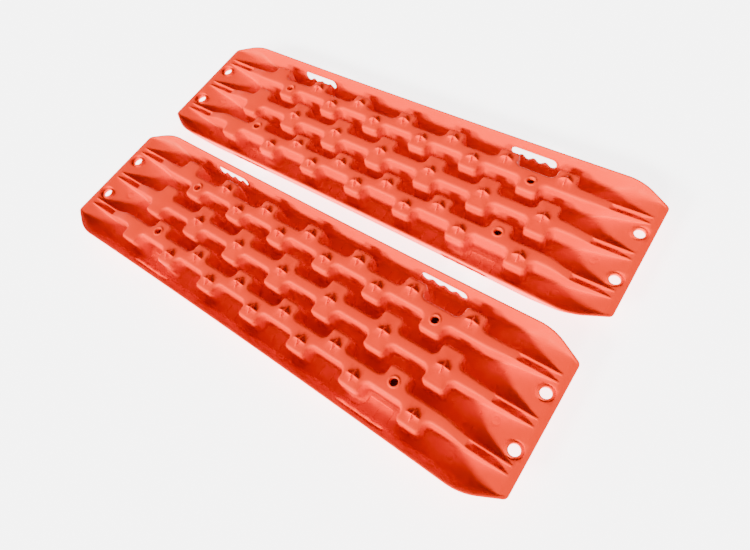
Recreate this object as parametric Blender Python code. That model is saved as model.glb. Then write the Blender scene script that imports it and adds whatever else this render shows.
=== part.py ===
"""A pair of tyre traction mats: two identical ribbed recovery boards lying side by side.

Each board is one thin moulded shell: a shallow tray with a ramp at both ends, three hollow
ridges running along it, rectangular bumps on the ridges and star-shaped grip cleats on the
bumps. Pressed-in collars line its tie-down holes and its ridge holes, and a scalloped grip
rim lines each of its four handle slots.

Board frame: X along the board, Y across it, Z up, origin on the ground under its centre.
"""
import math

import bmesh
import bpy
from mathutils import Matrix, Vector

MM = 0.001

# Overall size of one board
LENGTH = 1060 * MM
WIDTH = 288 * MM
FLARE = 3 * MM
HEIGHT = 60 * MM
SHELL = 3.6 * MM
CLEAT_HEIGHT = 8 * MM
RIM_Z = HEIGHT - CLEAT_HEIGHT

# Cut corners: a wide arc off the long side, a straight run, a tight arc onto the end
CORNER_START = 447 * MM
CORNER_ANGLE = math.radians(28)
CORNER_WIDE_RADIUS = 100 * MM
CORNER_TIGHT_RADIUS = 10 * MM

# Tray: drafted side walls and a straight ramp up to a narrow end plate
WALL_DRAFT = 0.278
RAMP_START = 394 * MM
PLATE_START = 517 * MM
PLATE_DROP = 5.5 * MM

# Ridges and their bumps
RIDGE_SPACING = 74.7 * MM
PITCH = 118.3 * MM
NECK_HALF = 12.3 * MM
BUMP_REACH = 37.6 * MM
BUMP_HALF = 20.5 * MM
BUMP_CORNER = 7 * MM
SHOULDER = 5 * MM
HOLE_BUMP_X = 300.6 * MM
RIDGE_FALL_START = 405 * MM
RIDGE_FALL_END = 452 * MM
RIDGE_FALL = 9 * MM
FIN_SPACING = 79.3 * MM
FIN_HALF = 7.1 * MM
FIN_THICKNESS = 2.8 * MM

# Cleats
CLEAT_SPAN = 25 * MM
CLEAT_CORE = 3.2 * MM
CLEAT_OUTER_Y = 90 * MM
CLEAT_INNER_Y = 63 * MM

# Collars in the round holes
EYELET_X = 506.8 * MM
EYELET_Y = 49.8 * MM
EYELET_DROP = 11.2 * MM
EYELET_BORE = 18.6 * MM
BUSH_X = 300.7 * MM
BUSH_Y = 62.5 * MM
BUSH_BORE = 14.4 * MM
COLLAR_WALL = 1.6 * MM
COLLAR_FLANGE = 4.2 * MM
COLLAR_RAISE = 1.6 * MM
COLLAR_SIDES = 12

# Handle slots, measured in the plane of the side wall
SLOT_X = 272.5 * MM
SLOT_LENGTH = 95 * MM
SLOT_TOP_DROP = 17 * MM
SLOT_HEIGHT = 20.5 * MM
SLOT_SCALLOPS = 3
SCALLOP_DEPTH = 6 * MM
GRIP_WALL = 2 * MM
GRIP_FLANGE = 3.6 * MM
GRIP_STAND = 1.2 * MM

# How the pair lies: centre offset of each board and its small yaw
PAIR_DX = 4.2 * MM
PAIR_DY = 161.1 * MM
PAIR_YAW = math.radians(0.21)

GAP = 0.3 * MM
MARGIN = 10 * MM
ENDS = {"left": -1, "right": 1}
SIDES = {"near": -1, "far": 1}


def clear_scene():
    for obj in list(bpy.data.objects):
        bpy.data.objects.remove(obj, do_unlink=True)


def material(name, color, roughness):
    mat = bpy.data.materials.new(name)
    mat.use_nodes = True
    shader = mat.node_tree.nodes["Principled BSDF"]
    shader.inputs["Base Color"].default_value = (*color, 1)
    shader.inputs["Roughness"].default_value = roughness
    shader.inputs["Metallic"].default_value = 0
    return mat


def new_object(name, bm):
    bmesh.ops.recalc_face_normals(bm, faces=bm.faces)
    mesh = bpy.data.meshes.new(name)
    bm.to_mesh(mesh)
    bm.free()
    obj = bpy.data.objects.new(name, mesh)
    bpy.context.collection.objects.link(obj)
    return obj


def as_tool(obj):
    obj.hide_render = True
    obj.display_type = "WIRE"
    return obj


def boolean(obj, tool, operation):
    modifier = obj.modifiers.new(operation.title(), "BOOLEAN")
    modifier.operation = operation
    modifier.solver = "EXACT"
    modifier.object = tool


def applied_mesh(obj):
    depsgraph = bpy.context.evaluated_depsgraph_get()
    return bpy.data.meshes.new_from_object(obj.evaluated_get(depsgraph))


def half_width(x):
    """Half of the board's outer width at a station, cut corners included."""
    x = abs(x)
    flare = FLARE * min(x / CORNER_START, 1) ** 2
    side = WIDTH / 2 + flare
    if x <= CORNER_START:
        return side
    wide_end = CORNER_START + CORNER_WIDE_RADIUS * math.sin(CORNER_ANGLE)
    if x <= wide_end:
        angle = math.asin((x - CORNER_START) / CORNER_WIDE_RADIUS)
        return side - CORNER_WIDE_RADIUS * (1 - math.cos(angle))
    drop = CORNER_WIDE_RADIUS * (1 - math.cos(CORNER_ANGLE))
    tight_start = LENGTH / 2 - CORNER_TIGHT_RADIUS * (1 - math.sin(CORNER_ANGLE))
    straight = (min(x, tight_start) - wide_end) * math.tan(CORNER_ANGLE)
    if x <= tight_start:
        return side - drop - straight
    run = min((x - tight_start) / CORNER_TIGHT_RADIUS + math.sin(CORNER_ANGLE), 1)
    turn = CORNER_TIGHT_RADIUS * (math.cos(CORNER_ANGLE) - math.sqrt(1 - run * run))
    return side - drop - straight - turn


def floor_z(x):
    """Top of the valley floor and of the ramps."""
    low = SHELL
    high = RIM_Z - PLATE_DROP
    run = (abs(x) - RAMP_START) / (PLATE_START - RAMP_START)
    return low + (high - low) * min(max(run, 0), 1)


def rim_z(x):
    """The rim is level and dips to the end plate at both ends."""
    run = (abs(x) - CORNER_START) / (LENGTH / 2 - CORNER_START)
    return RIM_Z - PLATE_DROP * max(run, 0) ** 2


def tray():
    """Top surface of the tray, lofted through stations along X and given its thickness."""
    wide_end = CORNER_START + CORNER_WIDE_RADIUS * math.sin(CORNER_ANGLE)
    ends = [LENGTH / 2, PLATE_START + 6 * MM, PLATE_START, wide_end,
            470 * MM, CORNER_START, RAMP_START, 200 * MM]
    stations = [-x for x in ends] + [0.0] + ends[::-1]
    bm = bmesh.new()
    rows = []
    for x in stations:
        rim_y = half_width(x) - SHELL
        depth = rim_z(x) - floor_z(x)
        foot_y = rim_y - WALL_DRAFT * depth - 3 * MM
        half = [(rim_y, rim_z(x)), (foot_y + 2 * MM, floor_z(x) + min(2 * MM, depth / 2)),
                (foot_y - 3 * MM, floor_z(x))]
        row = half + [(-y, z) for y, z in half[::-1]]
        rows.append([bm.verts.new((x, y, z)) for y, z in row])
    for row, following in zip(rows, rows[1:]):
        for i in range(len(row) - 1):
            bm.faces.new((row[i], row[i + 1], following[i + 1], following[i]))
    obj = new_object("tray", bm)
    if sum(face.normal.z for face in obj.data.polygons) < 0:
        obj.data.flip_normals()
    shell = obj.modifiers.new("Shell", "SOLIDIFY")
    shell.thickness = SHELL
    shell.offset = -1
    shell.use_even_offset = True
    return obj


def side_profile_prism(bm, profile, half_y, center_y=0.0):
    """Closed prism of an X-Z outline, centred on center_y."""
    loops = [[bm.verts.new((x, center_y + side * half_y, z)) for x, z in profile]
             for side in (-1, 1)]
    bm.faces.new(loops[0])
    bm.faces.new(loops[1][::-1])
    count = len(profile)
    for i in range(count):
        j = (i + 1) % count
        bm.faces.new((loops[0][i], loops[1][i], loops[1][j], loops[0][j]))


def ramp_middle_z(x):
    """Middle of the floor's thickness, where ridges and fins are rooted."""
    return floor_z(x) - SHELL / 2


def bump_stations():
    """Stations of the bumps that face outward, and of those that face inward."""
    outward = [k * PITCH for k in range(-3, 4)]
    inner = [(k + 0.5) * PITCH for k in range(-2, 2)]
    inward = [-HOLE_BUMP_X] + inner + [HOLE_BUMP_X]
    return outward, inward


def bumpy_side(stations, neck, reach, half, corner):
    """One long side of a ridge, from -X to +X, as distances from the ridge's centre line."""
    points = []
    for x in stations:
        if not corner:
            points += [(x - half, neck), (x - half, reach), (x + half, reach), (x + half, neck)]
            continue
        points += [(x - half - corner, neck), (x - half, neck + corner),
                   (x - half, reach - corner), (x - half + corner, reach),
                   (x + half - corner, reach), (x + half, reach - corner),
                   (x + half, neck + corner), (x + half + corner, neck)]
    return points


def ridge_outline(center, plus_bumps, minus_bumps, inset=0.0):
    """Plan outline of a ridge. Its ends drift to where the fins start."""
    neck = NECK_HALF - inset
    reach = BUMP_REACH - inset
    half = BUMP_HALF - inset
    corner = 0 if inset else BUMP_CORNER
    sign = (center > 0) - (center < 0)
    tip_center = sign * FIN_SPACING
    tip_half = FIN_HALF + FIN_THICKNESS / 2 - inset
    tip_x = RIDGE_FALL_END - inset
    fall_x = RIDGE_FALL_START - 10 * MM
    minus = [(x, center - d) for x, d in bumpy_side(minus_bumps, neck, reach, half, corner)]
    plus = [(x, center + d) for x, d in bumpy_side(plus_bumps, neck, reach, half, corner)]
    outline = [(-tip_x, tip_center - tip_half), (-fall_x, center - neck)] + minus
    outline += [(fall_x, center - neck), (tip_x, tip_center - tip_half)]
    outline += [(tip_x, tip_center + tip_half), (fall_x, center + neck)] + plus[::-1]
    return outline + [(-fall_x, center + neck), (-tip_x, tip_center + tip_half)]


def outline_prism(bm, outline, bottom, top, shoulder=0.0):
    """Upright prism on a plan outline, its top edge chamfered by the shoulder."""
    base = bm.faces.new([bm.verts.new((x, y, bottom)) for x, y in outline])
    walls = bmesh.ops.extrude_face_region(bm, geom=[base])["geom"]
    moved = [item for item in walls if isinstance(item, bmesh.types.BMVert)]
    cap = [item for item in walls if isinstance(item, bmesh.types.BMFace)]
    bmesh.ops.translate(bm, verts=moved, vec=(0, 0, top - shoulder - bottom))
    bmesh.ops.recalc_face_normals(bm, faces=bm.faces)
    if shoulder:
        bmesh.ops.inset_individual(bm, faces=cap, thickness=shoulder, depth=shoulder,
                                   use_even_offset=True)


def ridge_layout():
    """Centre line of each ridge with the bumps on its far side and on its near side."""
    outward, inward = bump_stations()
    return [(-RIDGE_SPACING, inward, outward), (0.0, outward, outward),
            (RIDGE_SPACING, outward, inward)]


def ridge_end_tool(drop):
    """Removes what stands above the falling ends of the ridges, lowered by drop."""
    bm = bmesh.new()
    top = RIM_Z - drop
    outer = RIDGE_FALL_END + 4 * MARGIN
    profile = [(RIDGE_FALL_START, top), (RIDGE_FALL_END, top - RIDGE_FALL),
               (outer, top - RIDGE_FALL), (outer, RIM_Z + MARGIN),
               (RIDGE_FALL_START - 2 * MARGIN, RIM_Z + MARGIN), (RIDGE_FALL_START - 2 * MARGIN, top)]
    for side in ENDS.values():
        side_profile_prism(bm, [(side * x, z) for x, z in profile], WIDTH / 2)
    return as_tool(new_object("ridge_end_tool", bm))


def under_ramp_tool():
    """Removes what hangs below the middle of the ramps."""
    bm = bmesh.new()
    outer = PLATE_START
    profile = [(RAMP_START, ramp_middle_z(RAMP_START)), (outer, ramp_middle_z(outer)),
               (outer, -2 * MARGIN), (RAMP_START, -2 * MARGIN)]
    for side in ENDS.values():
        side_profile_prism(bm, [(side * x, z) for x, z in profile], WIDTH / 2)
    return as_tool(new_object("under_ramp_tool", bm))


def ridges():
    bm = bmesh.new()
    for center, plus_bumps, minus_bumps in ridge_layout():
        outline = ridge_outline(center, plus_bumps, minus_bumps)
        outline_prism(bm, outline, SHELL / 2, RIM_Z, SHOULDER)
    obj = as_tool(new_object("ridges", bm))
    boolean(obj, ridge_end_tool(0.0), "DIFFERENCE")
    boolean(obj, under_ramp_tool(), "DIFFERENCE")
    return obj


def ridge_hollows():
    """The open undersides of the ridges."""
    bm = bmesh.new()
    for center, plus_bumps, minus_bumps in ridge_layout():
        outline = ridge_outline(center, plus_bumps, minus_bumps, 1.15 * SHELL)
        outline_prism(bm, outline, -MARGIN, RIM_Z - 1.4 * SHELL)
    obj = as_tool(new_object("ridge_hollows", bm))
    boolean(obj, ridge_end_tool(1.6 * SHELL), "DIFFERENCE")
    return obj


def fins():
    """Two thin fins lead each ridge end down the ramp, with a groove between them."""
    bm = bmesh.new()
    start = RIDGE_FALL_END - 8 * MM
    top_start = RIM_Z - RIDGE_FALL - 1 * MM
    profile = [(start, ramp_middle_z(start)), (PLATE_START, ramp_middle_z(PLATE_START)),
               (PLATE_START + 1 * MM, RIM_Z - PLATE_DROP + 0.2 * MM), (start, top_start)]
    for side in ENDS.values():
        for ridge in (-1, 0, 1):
            for fin in (-1, 1):
                center = ridge * FIN_SPACING + fin * FIN_HALF
                side_profile_prism(bm, [(side * x, z) for x, z in profile],
                                   FIN_THICKNESS / 2, center)
    return as_tool(new_object("fins", bm))


def cleat_places():
    """Cleats stand on every bump except the holed ones and the first row at the left end."""
    outward, inward = bump_stations()
    places = [(x, 0.0) for x in outward[1:]]
    for side in SIDES.values():
        places += [(x, side * CLEAT_OUTER_Y) for x in outward[1:]]
        places += [(x, side * CLEAT_INNER_Y) for x in inward[1:-1]]
    return places


def star_cleat(bm, x, y):
    """Four thin triangular blades meeting in one tip."""
    root = RIM_Z - 1 * MM
    tip = bm.verts.new((x, y, RIM_Z + CLEAT_HEIGHT))
    base = []
    for i in range(8):
        angle = i * math.pi / 4
        reach = CLEAT_SPAN / 2 if i % 2 == 0 else CLEAT_CORE / 2 * math.sqrt(2)
        base.append(bm.verts.new((x + reach * math.cos(angle), y + reach * math.sin(angle), root)))
    bm.faces.new(base[::-1])
    for i in range(8):
        bm.faces.new((base[i], base[(i + 1) % 8], tip))


def cleats():
    bm = bmesh.new()
    for x, y in cleat_places():
        star_cleat(bm, x, y)
    return as_tool(new_object("cleats", bm))


def cylinder(bm, x, y, radius, bottom, top):
    middle = Matrix.Translation((x, y, (bottom + top) / 2))
    bmesh.ops.create_cone(bm, cap_ends=True, segments=COLLAR_SIDES, radius1=radius,
                          radius2=radius, depth=top - bottom, matrix=middle)


def hole_places(x, y):
    return [(end * x, side * y) for end in ENDS.values() for side in SIDES.values()]


def eyelet_bosses():
    """Level bosses in the ramps that seat the tie-down eyelets."""
    bm = bmesh.new()
    radius = EYELET_BORE / 2 + COLLAR_FLANGE + 3 * MM
    seat = RIM_Z - EYELET_DROP
    for x, y in hole_places(EYELET_X, EYELET_Y):
        cylinder(bm, x, y, radius, seat - 4 * MM, seat + 1.2 * MM)
    return as_tool(new_object("eyelet_bosses", bm))


def eyelet_pockets():
    bm = bmesh.new()
    radius = EYELET_BORE / 2 + COLLAR_FLANGE + 2 * GAP
    for x, y in hole_places(EYELET_X, EYELET_Y):
        cylinder(bm, x, y, radius, RIM_Z - EYELET_DROP, RIM_Z + MARGIN)
    return as_tool(new_object("eyelet_pockets", bm))


def bores():
    """Round holes through the ramps and through the ridge tops."""
    bm = bmesh.new()
    for x, y in hole_places(EYELET_X, EYELET_Y):
        radius = EYELET_BORE / 2 + COLLAR_WALL + GAP
        cylinder(bm, x, y, radius, 0, RIM_Z + MARGIN)
    for x, y in hole_places(BUSH_X, BUSH_Y):
        radius = BUSH_BORE / 2 + COLLAR_WALL + GAP
        cylinder(bm, x, y, radius, RIM_Z - 2 * MARGIN, RIM_Z + MARGIN)
    return as_tool(new_object("bores", bm))


def slot_outline(grow=0.0):
    """Handle slot in its own plane: level top edge, round ends, scalloped lower edge."""
    radius = SLOT_HEIGHT / 2
    straight = SLOT_LENGTH / 2 - radius
    points = []
    for end in (1, -1):
        for i in range(5):
            angle = math.radians(-90 + 45 * i) if end > 0 else math.radians(90 + 45 * i)
            points.append((end * straight + (radius + grow) * math.cos(angle),
                           (radius + grow) * math.sin(angle)))
    steps = 4 * SLOT_SCALLOPS
    for i in range(1, steps):
        run = i / steps
        lift = SCALLOP_DEPTH * math.sin(math.pi * SLOT_SCALLOPS * run) ** 2
        points.append((-straight + 2 * straight * run, -radius - grow + lift))
    return points


def slot_frame(end, side):
    """Matrix from the slot's plane, X along it, Y up it, Z into the valley, to the board."""
    tilt = math.atan(WALL_DRAFT)
    drop = SLOT_TOP_DROP + SLOT_HEIGHT / 2
    inner_y = half_width(SLOT_X) - SHELL - WALL_DRAFT * drop - 0.8 * MM
    into_valley = Vector((0, -side * math.cos(tilt), math.sin(tilt)))
    up = Vector((0, side * math.sin(tilt), math.cos(tilt)))
    along = up.cross(into_valley)
    origin = Vector((end * SLOT_X, side * inner_y, RIM_Z - drop))
    return Matrix((
        (along.x, up.x, into_valley.x, origin.x),
        (along.y, up.y, into_valley.y, origin.y),
        (along.z, up.z, into_valley.z, origin.z),
        (0, 0, 0, 1)))


def slots():
    bm = bmesh.new()
    outline = slot_outline(GRIP_WALL + GAP)
    for end in ENDS.values():
        for side in SIDES.values():
            frame = slot_frame(end, side)
            back = [bm.verts.new(frame @ Vector((x, y, -2.5 * SHELL))) for x, y in outline]
            front = [bm.verts.new(frame @ Vector((x, y, 2.5 * SHELL))) for x, y in outline]
            bm.faces.new(back)
            bm.faces.new(front[::-1])
            for i in range(len(outline)):
                j = (i + 1) % len(outline)
                bm.faces.new((back[i], front[i], front[j], back[j]))
    return as_tool(new_object("slots", bm))


def swept_frame(bm, sections, frame):
    """Closed tube through a ring of cross-sections."""
    rings = [[bm.verts.new(frame @ Vector(point)) for point in section] for section in sections]
    for ring, following in zip(rings, rings[1:] + rings[:1]):
        for i in range(len(ring)):
            j = (i + 1) % len(ring)
            bm.faces.new((ring[i], ring[j], following[j], following[i]))


def grip_rim_mesh(end, side):
    """Scalloped rim that lines a handle slot, with a flange on the valley side."""
    opening = slot_outline()
    wall = slot_outline(GRIP_WALL)
    flange = slot_outline(GRIP_FLANGE)
    back = -SHELL - GRIP_STAND
    seat = GAP + 0.6 * MM
    front = seat + GRIP_STAND
    sections = []
    for (ox, oy), (wx, wy), (fx, fy) in zip(opening, wall, flange):
        sections.append([(ox, oy, back), (wx, wy, back), (wx, wy, seat), (fx, fy, seat),
                         (fx, fy, front), (ox, oy, front + 1 * MM)])
    bm = bmesh.new()
    swept_frame(bm, sections, slot_frame(end, side))
    return bm


def collar_mesh(bore, depth, raise_top):
    """Turned collar: a sleeve through the board under a rounded flange."""
    inner = bore / 2
    sleeve = inner + COLLAR_WALL
    flange = inner + COLLAR_FLANGE
    profile = [(inner, -depth), (sleeve, -depth), (sleeve, GAP), (flange, GAP),
               (flange - 0.8 * MM, raise_top), (inner, raise_top)]
    sections = []
    for i in range(COLLAR_SIDES):
        angle = 2 * math.pi * i / COLLAR_SIDES
        sections.append([(r * math.cos(angle), r * math.sin(angle), z) for r, z in profile])
    bm = bmesh.new()
    swept_frame(bm, sections, Matrix.Identity(4))
    return bm


def board_mesh():
    board = tray()
    boolean(board, ridges(), "UNION")
    boolean(board, fins(), "UNION")
    boolean(board, cleats(), "UNION")
    boolean(board, eyelet_bosses(), "UNION")
    boolean(board, ridge_hollows(), "DIFFERENCE")
    boolean(board, eyelet_pockets(), "DIFFERENCE")
    boolean(board, bores(), "DIFFERENCE")
    boolean(board, slots(), "DIFFERENCE")
    mesh = applied_mesh(board)
    mesh.name = "board"
    clear_scene()
    return mesh


def place(name, mesh, mat, parent, location=(0, 0, 0)):
    obj = bpy.data.objects.new(name, mesh)
    obj.location = location
    obj.parent = parent
    if not mesh.materials:
        mesh.materials.append(mat)
    bpy.context.collection.objects.link(obj)
    return obj


def free_mesh(name, bm):
    bmesh.ops.recalc_face_normals(bm, faces=bm.faces)
    mesh = bpy.data.meshes.new(name)
    bm.to_mesh(mesh)
    bm.free()
    mesh.shade_smooth()
    mesh.set_sharp_from_angle(angle=math.radians(40))
    return mesh


def build():
    clear_scene()
    shell_orange = material("board_nylon", (0.86, 0.10, 0.045), 0.45)
    collar_orange = material("collar_nylon", (0.90, 0.13, 0.06), 0.40)
    grip_orange = material("grip_nylon", (0.90, 0.12, 0.06), 0.50)
    board = board_mesh()
    eyelet = free_mesh("eyelet", collar_mesh(EYELET_BORE, 5 * MM, COLLAR_RAISE))
    bush = free_mesh("ridge_bush", collar_mesh(BUSH_BORE, 8 * MM, COLLAR_RAISE))
    grips = {(end, side): free_mesh(f"grip_{end}_{side}", grip_rim_mesh(ENDS[end], SIDES[side]))
             for end in ENDS for side in SIDES}
    for mat_name, sign in (("front", -1), ("rear", 1)):
        frame = bpy.data.objects.new(f"{mat_name}_mat_frame", None)
        frame.location = (sign * PAIR_DX, sign * PAIR_DY, 0)
        frame.rotation_euler = (0, 0, sign * PAIR_YAW)
        bpy.context.collection.objects.link(frame)
        place(f"{mat_name}_board", board, shell_orange, frame)
        for end, ex in ENDS.items():
            for side, sy in SIDES.items():
                label = f"{end}_{side}"
                eyelet_at = (ex * EYELET_X, sy * EYELET_Y, RIM_Z - EYELET_DROP)
                place(f"{mat_name}_eyelet_{label}", eyelet, collar_orange, frame, eyelet_at)
                bush_at = (ex * BUSH_X, sy * BUSH_Y, RIM_Z)
                place(f"{mat_name}_ridge_bush_{label}", bush, collar_orange, frame, bush_at)
                place(f"{mat_name}_grip_{label}", grips[end, side], grip_orange, frame)


build()
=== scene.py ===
"""Looks for a pair of moulded tyre traction boards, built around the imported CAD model.

Both boards share one mesh: a thin shell whose top and underside are lofted from rings that
run round the ridges and round the tray, and filled in between with triangulated patches.
Board coordinates are millimetres with Z up: X along the board, Y across it, origin on the
ground under the board's centre.
"""
import math

import bmesh
import bpy
import numpy as np
from mathutils import Matrix, Vector
from mathutils.geometry import delaunay_2d_cdt


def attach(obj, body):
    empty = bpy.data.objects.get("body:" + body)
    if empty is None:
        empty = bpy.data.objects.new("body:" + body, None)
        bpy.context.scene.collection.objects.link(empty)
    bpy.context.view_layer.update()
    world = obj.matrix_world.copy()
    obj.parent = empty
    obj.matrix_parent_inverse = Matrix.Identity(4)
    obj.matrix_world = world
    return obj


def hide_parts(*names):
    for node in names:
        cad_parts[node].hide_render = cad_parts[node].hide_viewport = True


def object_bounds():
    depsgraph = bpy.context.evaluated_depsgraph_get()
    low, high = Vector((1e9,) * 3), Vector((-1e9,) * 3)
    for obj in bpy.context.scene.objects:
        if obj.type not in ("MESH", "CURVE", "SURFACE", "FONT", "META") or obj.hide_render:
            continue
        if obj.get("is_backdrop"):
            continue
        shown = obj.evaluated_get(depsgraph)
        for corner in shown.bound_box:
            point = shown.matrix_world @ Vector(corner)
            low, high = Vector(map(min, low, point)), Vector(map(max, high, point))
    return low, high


MM = 0.001

# The board, as in the CAD model
LENGTH = 1060.0
WIDTH = 288.0
FLARE = 3.0
RIM_Z = 52.0
SHELL = 3.6
CORNER_START = 447.0
CORNER_ANGLE = math.radians(28)
CORNER_WIDE_RADIUS = 100.0
CORNER_TIGHT_RADIUS = 10.0
WALL_DRAFT = 0.278
RAMP_START = 394.0
PLATE_START = 517.0
PLATE_DROP = 5.5
RIDGE_SPACING = 74.7
PITCH = 118.3
NECK_HALF = 12.3
BUMP_REACH = 37.6
BUMP_HALF = 20.5
HOLE_BUMP_X = 300.6
RIDGE_FALL_START = 405.0
RIDGE_FALL_END = 450.0
RIDGE_FALL = 9.0
FIN_SPACING = 79.3
FIN_OUTER = 8.5
FIN_INNER = 6.3
GROOVE_START = 443.0
GROOVE_SLOPE = 0.95
EYELET = (506.8, 49.8)
EYELET_BORE = 18.6
EYELET_SEAT = RIM_Z - 11.2
BUSH = (300.7, 62.5)
BUSH_BORE = 14.4
COLLAR_HOLE = 1.9
CLEAT_HEIGHT = 8.0
CLEAT_OUTER_Y = 90.0
CLEAT_INNER_Y = 63.0
SLOT_X = 272.5
SLOT_LENGTH = 95.0
SLOT_TOP_DROP = 17.0
SLOT_HEIGHT = 20.5
SLOT_SCALLOPS = 3
SCALLOP_DEPTH = 6.0
PAIR_DX = 4.2
PAIR_DY = 161.1
PAIR_YAW = math.radians(0.21)

# Ridges: draft, rounded edges, and how far from a ridge's fall its ends narrow, drift and sharpen
RIDGE_DRAFT = 0.035
SHOULDER = 6.3
FIN_EDGE = 1.3
FOOT_FILLET = 5.0
CONVEX = 8.0
CONCAVE = 12.0
NARROW_LEAD = 12
NARROW_RUN = 52
NARROWEST = 4.2
DRIFT_LEAD = 10
DRIFT_RUN = 57
SHARPEN_RUN = 47
TIP_CORNER = 1.5
HOLLOW_FILLET = 2.5
HOLLOW_END = RIDGE_FALL_END - 4

# Groove between two fins
GROOVE_STOP = PLATE_START - 0.7
GROOVE_CORNER = 2.6
GROOVE_STEPS = 16

# Cleats: a cross of two blades, as (half thickness, extra reach, lift, height of the arch)
CLEAT_REACH = (12.6, 12.0)
CLEAT_RINGS = ((2.3, 0.9, 0.0, 0.0), (1.35, 0.3, 0.35, 0.3), (0.95, 0.0, 0.45, 0.55 * CLEAT_HEIGHT),
               (0.62, -0.3, 0.3, CLEAT_HEIGHT - 0.7), (0.3, -0.6, 0.25, CLEAT_HEIGHT - 0.25))

# Tray: rim, fillets and the ledge along the outer ridges' feet
RIM_WIDTH = 4.0
RIM_ROUND = 1.2
WALL_FILLET = 6.0
CORNER_FILLET = 26.0
SLOT_CLEARANCE = 2.3
SLOT_SURROUND = 62
LEDGE_HEIGHT = 2.6
LEDGE_START = 222.0
LEDGE_END = 316.0
LEDGE_INNER = 9.3
LEDGE_OUTER = 10.7

# Eyelet seats, as (radius, share of the way from the ramp's skin to the level seat)
EYELET_HOLE = EYELET_BORE / 2 + COLLAR_HOLE
SEAT_RINGS = ((15.6, 0.0), (15.2, 0.06), (14.9, 0.3), (14.6, 0.9), (14.3, 1.0), (EYELET_HOLE, 1.0))
BOSS_RINGS = ((EYELET_HOLE, 1.0), (15.6, 1.0), (16.3, 0.9), (17.0, 0.0))
BOSS_DEPTH = 4

# Thin lines across the valleys, in pairs, and round ejector marks as (x, y, radius)
PLANK_LINE_DEPTH = 1.1
PLANK_HALF_GAP = 12.5
INNER_VALLEY = (14.0, 60.0)
OUTER_VALLEY = (84.0, 134.0)
HANDLE_LINES = (266.0, 291.0, 316.0)
RAMP_LINE_X = 437.6
RAMP_LINES = (51.6, 24.4, -24.4, -52.5, 104.0, -104.0)
MARK_DEPTH = 0.28
MARK_EDGE = 0.7
MARKS = ((463, -24, 7), (466, 25.4, 7), (431, 107, 7), (431, -107, 7),
         (390, 29, 5), (390, -29, 5), (425.7, -53, 5), (425.7, 53, 5))

# Mesh clean-up
MERGE = 0.002 * MM
DEGENERATE = 0.001 * MM
SHARP_ANGLE = math.radians(42)

# Collars: width of the sleeve's wall and of the lip, and depths below their seats
SLEEVE_WALL = 1.6
LIP_WIDTH = 4.2
COLLAR_RAISE = 1.7
EYELET_DEPTH = 4.0
BUSH_DEPTH = 8.0
COLLAR_STEPS = 56

# Grip rim: its section, as (distance out from the slot's edge, height above the wall)
GRIP_SECTION = ((0.0, -4.6), (1.2, -4.9), (2.0, -4.6), (2.0, 0.35), (3.4, 0.35), (3.6, 0.6),
                (3.2, 1.2), (2.4, 1.7), (1.2, 1.9), (0.4, 1.6), (0.0, 1.0), (0.0, -1.8))

# Studio, in metres: the floor glows, save in a soft-edged patch under each board's middle, which is
# painted shade for the dark beneath the boards
FLOOR_HALF = 40.0
FLOOR_DROP = 0.0004
FLOOR_GLOW = 4.6
PAINTED_SHADE_HALF_WIDTH = (0.105, 0.122)
PAINTED_SHADE_HALF_LENGTH = (0.440, 0.475)
CAMERA_PLACE = (0.5203, -0.3325, 0.8416)
CAMERA_AIM = (0.1439, -0.0708, 0.0200)
CAMERA_ROLL = math.radians(-23.034)

# Sun lights, as (name, energy, angular size, direction of travel)
SUNS = (("key_left", 5.2, 11, (0.42, 1.0, -0.6)), ("key_right", 4.2, 11, (-0.15, 1.0, -0.57)),
        ("broad", 1.2, 60, (0.0, 1.0, -0.8)))

# Sky: bright at the horizon, dim overhead, as (height, brightness)
SKY_LOW = (0.03, 4.2)
SKY_HIGH = (0.2, 0.08)

ENDS = {"left": -1, "right": 1}
SIDES = {"near": -1, "far": 1}


# ---------------------------------------------------------------- heights

def smoothstep(t):
    t = np.clip(t, 0, 1)
    return t * t * (3 - 2 * t)


def soft_ramp(t, width):
    """Zero before 0 and t after it, with a parabola in between."""
    return np.where(t < -width, 0.0, np.where(t > width, t, (t + width) ** 2 / (4 * width)))


def ground(x):
    """Top of the valley floor, of the end ramps and of the end plates."""
    x = np.abs(x)
    slope = (RIM_Z - PLATE_DROP - SHELL) / (PLATE_START - RAMP_START)
    return SHELL + slope * (soft_ramp(x - RAMP_START, 12) - soft_ramp(x - PLATE_START, 3))


def ledge(x):
    """Extra height of the foot ledge that runs round the outer ridges beside a handle."""
    x = np.abs(x)
    rise = smoothstep((x - LEDGE_START) / 6) * smoothstep((LEDGE_END - x) / 1.5)
    return LEDGE_HEIGHT * rise


def ridge_top(x):
    """Top of a ridge, whose ends fall and then rise as fins to the end plate."""
    ax = np.abs(x)
    fall = RIDGE_FALL / (RIDGE_FALL_END - RIDGE_FALL_START)
    crest_end = float(ground(PLATE_START))
    rise = (crest_end - RIM_Z + RIDGE_FALL) / (PLATE_START - RIDGE_FALL_END)
    top = RIM_Z - fall * soft_ramp(ax - RIDGE_FALL_START, 10)
    top = top + (fall + rise) * soft_ramp(ax - RIDGE_FALL_END, 5)
    return np.maximum(top, ground(x) + 0.02)


def rim_top(x):
    """The rim is level and dips to the end plate at both ends."""
    run = (np.abs(x) - CORNER_START) / (LENGTH / 2 - CORNER_START)
    return RIM_Z - PLATE_DROP * np.clip(run, 0, 1) ** 2


def groove_floor(x):
    """Floor of the groove between two fins: a short slope, then the ramp."""
    start = ridge_top(np.array([GROOVE_START]))[0]
    return np.maximum(ground(x), start - GROOVE_SLOPE * (np.abs(x) - GROOVE_START))


def lifted(height, drop=0.0):
    """Function that places a plan point on a height function, lowered by drop."""
    return lambda x, y: (x, y, float(height(np.array([x]))[0]) - drop)


# ---------------------------------------------------------------- plan outlines

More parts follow.
